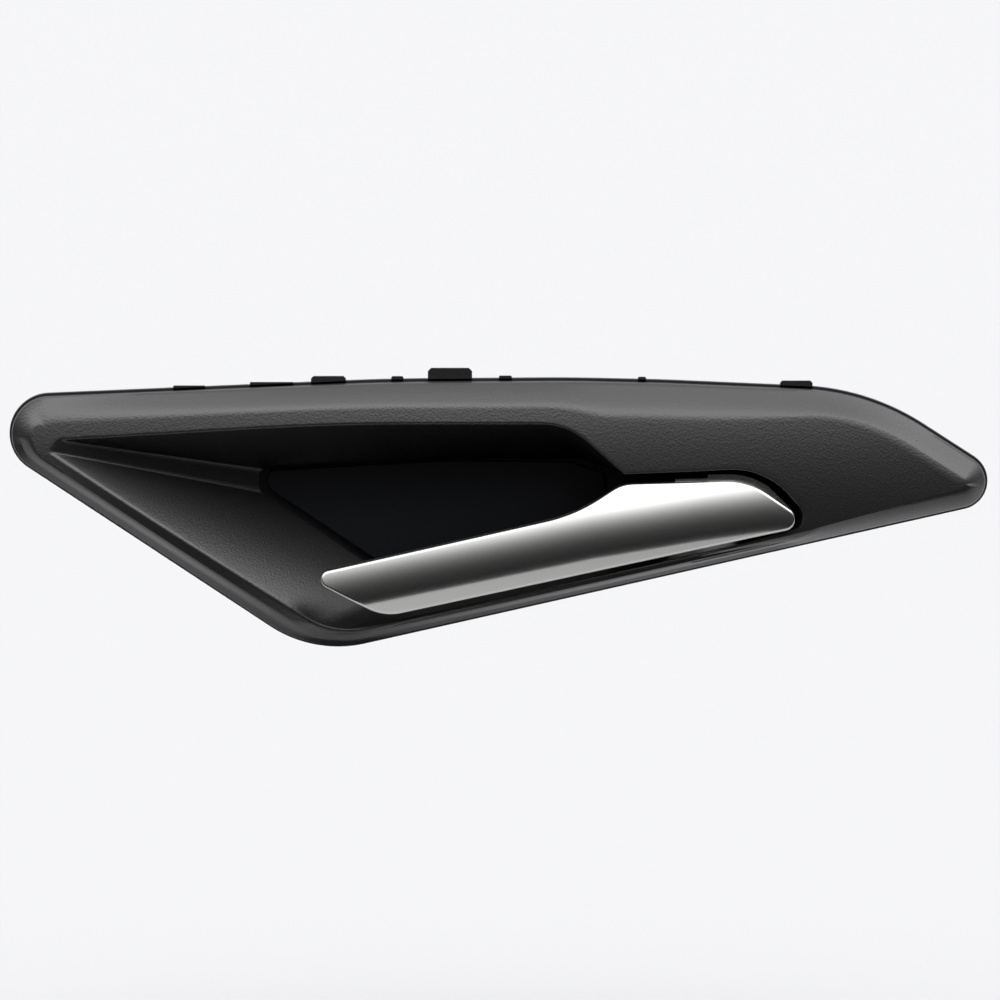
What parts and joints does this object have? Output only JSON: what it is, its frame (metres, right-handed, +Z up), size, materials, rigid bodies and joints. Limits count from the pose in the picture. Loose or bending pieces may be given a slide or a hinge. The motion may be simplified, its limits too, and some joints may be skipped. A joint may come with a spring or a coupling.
{
  "type": "car interior door handle",
  "caption": "Car interior door release handle: long pointed bezel with a finger bowl, dark floor panel and a sprung silver pull lever on a hidden carrier.",
  "frame": {"origin": "mouth of the right-hand trim screw boss, on its axis, in the plane of the bezel's rear edge", "axes": "+X to the right along the handle as the user sees it, +Y into the door (out of the trim screw bosses' mouths), +Z up"},
  "size_m": [0.2416, 0.0395, 0.0691],
  "materials": {
    "bezel_plastic": "fine moulded grain",
    "panel_plastic": "satin",
    "carrier_plastic": "as moulded",
    "core_plastic": "as moulded",
    "silver_paint": "satin silver paint on plastic",
    "bush_plastic": "as moulded",
    "bumper_rubber": "matte",
    "steel": "ground",
    "spring_steel": "drawn wire",
    "screw_steel": "zinc plated"
  },
  "bodies": {
    "housing": {"bezel": "bezel_plastic", "insert_panel": "panel_plastic", "carrier": "carrier_plastic", "hinge_pin": "steel", "pin_ring": "steel", "return_spring": "spring_steel", "rest_bumper": "bumper_rubber", "open_bumper": "bumper_rubber", "carrier_screw_1": "screw_steel", "carrier_screw_2": "screw_steel", "carrier_screw_3": "screw_steel", "carrier_screw_4": "screw_steel", "panel_screw_1": "screw_steel", "panel_screw_2": "screw_steel", "panel_screw_3": "screw_steel"},
    "lever": {"lever_core": "core_plastic", "lever_cover": "silver_paint", "upper_bush": "bush_plastic", "lower_bush": "bush_plastic", "cover_screw_1": "screw_steel", "cover_screw_2": "screw_steel"}
  },
  "joints": [
    {"name": "lever_hinge", "type": "hinge", "parent": "housing", "child": "lever", "pos_m": [-0.0423, -0.0085, -0.0099], "axis": [-0.2164, 0, 0.9763], "range_deg": [0, 35], "stiffness_Nm_per_rad": 0.15, "springref_deg": -45.84, "deforming": ["return_spring"]}
  ]
}
